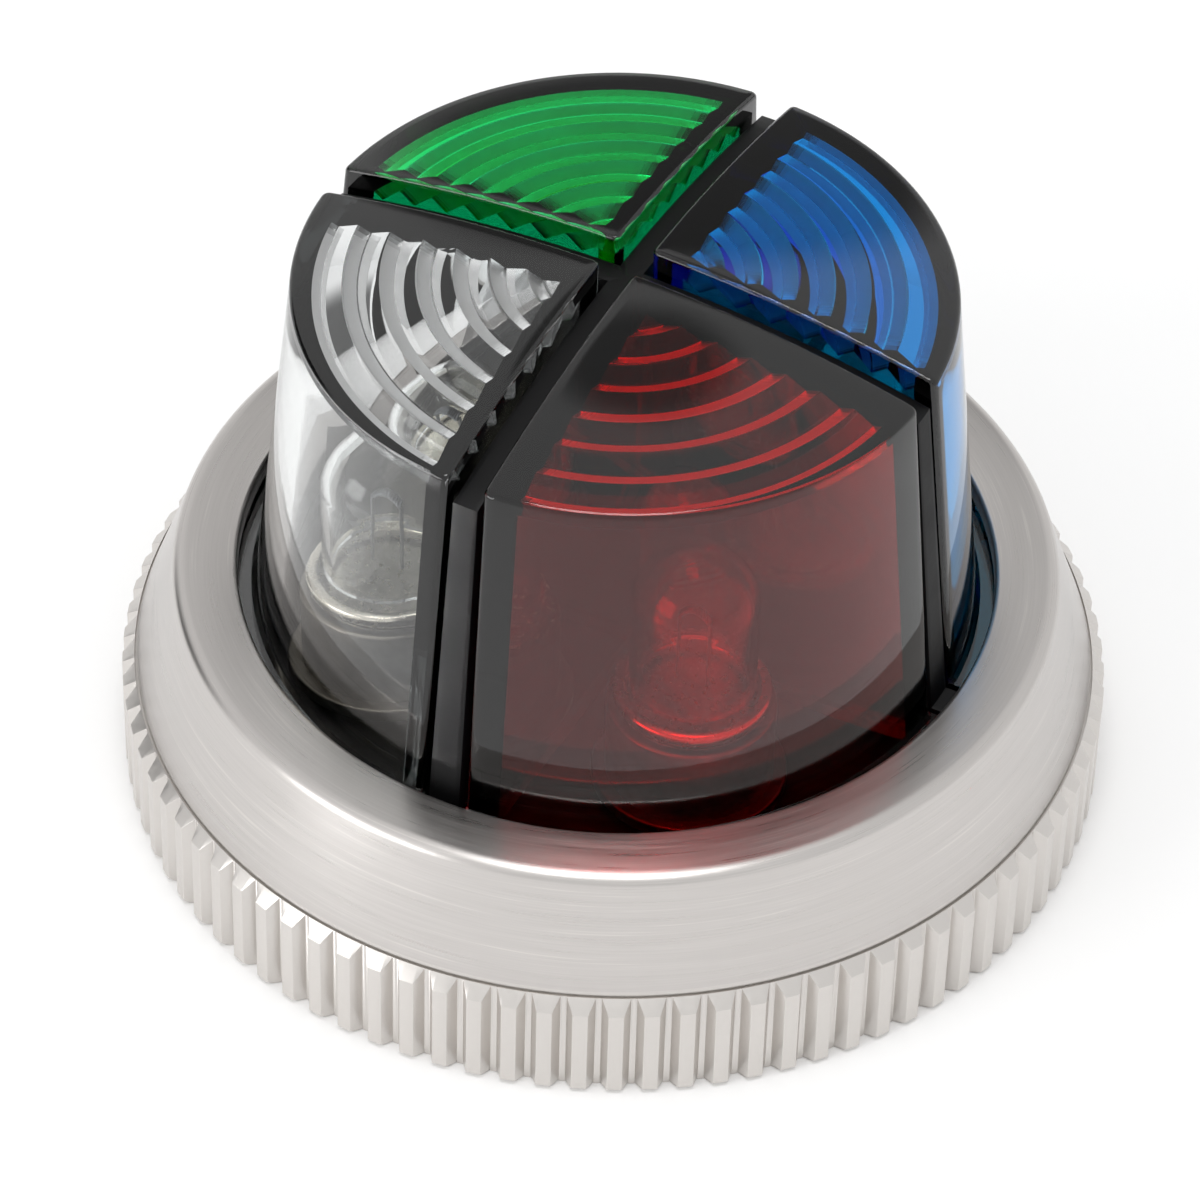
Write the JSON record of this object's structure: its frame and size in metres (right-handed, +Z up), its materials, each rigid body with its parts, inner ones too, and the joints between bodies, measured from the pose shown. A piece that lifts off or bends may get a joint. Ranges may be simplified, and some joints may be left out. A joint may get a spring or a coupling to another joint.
{
  "type": "cluster indicator light",
  "caption": "Round indicator light head: knurled aluminium screw ring over quarter-round coloured lens caps, a black divider cross, small lamps in sockets and a threaded housing.",
  "frame": {"origin": "centre of the underside, on the axis of the ring, in the plane that it stands on", "axes": "+Z up along the ring's axis, out of the domed lens caps; +X and +Y along the grooves between the caps"},
  "size_m": [0.047, 0.047, 0.0303],
  "materials": {
    "turned_aluminium": "satin, fine lathe lines",
    "polycarbonate_red": "gloss, transparent",
    "polycarbonate_blue": "gloss, transparent",
    "polycarbonate_green": "gloss, transparent",
    "polycarbonate_clear": "gloss, transparent",
    "black_nylon": "satin moulded",
    "black_phenolic": "matt moulded",
    "black_rubber": "matt",
    "nickelled_brass": "satin plated",
    "zinc_plated_steel": "satin plated",
    "spring_steel": "satin",
    "lamp_glass": "gloss, clear",
    "tungsten_wire": "drawn wire"
  },
  "bodies": {
    "housing": {"threaded_body": "turned_aluminium", "lens_gasket": "black_rubber", "locating_pin": "zinc_plated_steel", "lamp_deck": "black_phenolic", "common_plate": "nickelled_brass", "terminal_block": "black_phenolic", "block_snap_ring": "spring_steel", "clamp_screw": "zinc_plated_steel", "terminal_tab_common": "nickelled_brass", "terminal_tab_red": "nickelled_brass", "terminal_screw_red": "zinc_plated_steel", "socket_red": "nickelled_brass", "spring_red": "spring_steel", "terminal_tab_blue": "nickelled_brass", "terminal_screw_blue": "zinc_plated_steel", "socket_blue": "nickelled_brass", "spring_blue": "spring_steel", "terminal_tab_green": "nickelled_brass", "terminal_screw_green": "zinc_plated_steel", "socket_green": "nickelled_brass", "spring_green": "spring_steel", "terminal_tab_clear": "nickelled_brass", "terminal_screw_clear": "zinc_plated_steel", "socket_clear": "nickelled_brass", "spring_clear": "spring_steel"},
    "lens_cap": {"lens_red": "polycarbonate_red", "lens_blue": "polycarbonate_blue", "lens_green": "polycarbonate_green", "lens_clear": "polycarbonate_clear", "light_divider": "black_nylon"},
    "screw_ring": {"bezel_ring": "turned_aluminium", "lens_retainer": "spring_steel"},
    "lamp_red": {"lamp_base_red": "nickelled_brass", "lamp_glass_red": "lamp_glass", "lamp_filament_red": "tungsten_wire"},
    "contact_red": {"plunger_red": "nickelled_brass"},
    "lamp_blue": {"lamp_base_blue": "nickelled_brass", "lamp_glass_blue": "lamp_glass", "lamp_filament_blue": "tungsten_wire"},
    "contact_blue": {"plunger_blue": "nickelled_brass"},
    "lamp_green": {"lamp_base_green": "nickelled_brass", "lamp_glass_green": "lamp_glass", "lamp_filament_green": "tungsten_wire"},
    "contact_green": {"plunger_green": "nickelled_brass"},
    "lamp_clear": {"lamp_base_clear": "nickelled_brass", "lamp_glass_clear": "lamp_glass", "lamp_filament_clear": "tungsten_wire"},
    "contact_clear": {"plunger_clear": "nickelled_brass"}
  },
  "joints": [
    {"name": "cap_lift", "type": "slide", "parent": "housing", "child": "lens_cap", "axis": [0, 0, 1], "range_m": [0, 0.00451]},
    {"name": "ring_turn", "type": "hinge", "parent": "lens_cap", "child": "screw_ring", "pos_m": [0, 0, 0], "axis": [0, 0, 1], "range_deg": [0, 1080]},
    {"name": "lamp_red_pull", "type": "slide", "parent": "housing", "child": "lamp_red", "axis": [0, 0, 1], "range_m": [0, 0.004]},
    {"name": "lamp_blue_pull", "type": "slide", "parent": "housing", "child": "lamp_blue", "axis": [0, 0, 1], "range_m": [0, 0.004]},
    {"name": "lamp_green_pull", "type": "slide", "parent": "housing", "child": "lamp_green", "axis": [0, 0, 1], "range_m": [0, 0.004]},
    {"name": "lamp_clear_pull", "type": "slide", "parent": "housing", "child": "lamp_clear", "axis": [0, 0, 1], "range_m": [0, 0.004]},
    {"name": "contact_red_press", "type": "slide", "parent": "housing", "child": "contact_red", "axis": [0, 0, 1], "range_m": [-0.0008, 0], "stiffness_N_per_m": 120, "springref_m": 0.0008, "deforming": ["spring_red"]},
    {"name": "contact_blue_press", "type": "slide", "parent": "housing", "child": "contact_blue", "axis": [0, 0, 1], "range_m": [-0.0008, 0], "stiffness_N_per_m": 120, "springref_m": 0.0008, "deforming": ["spring_blue"]},
    {"name": "contact_green_press", "type": "slide", "parent": "housing", "child": "contact_green", "axis": [0, 0, 1], "range_m": [-0.0008, 0], "stiffness_N_per_m": 120, "springref_m": 0.0008, "deforming": ["spring_green"]},
    {"name": "contact_clear_press", "type": "slide", "parent": "housing", "child": "contact_clear", "axis": [0, 0, 1], "range_m": [-0.0008, 0], "stiffness_N_per_m": 120, "springref_m": 0.0008, "deforming": ["spring_clear"]}
  ],
  "couplings": [
    {"joint": "cap_lift", "follows": "ring_turn", "m_per_rad": 0.00023873}
  ]
}
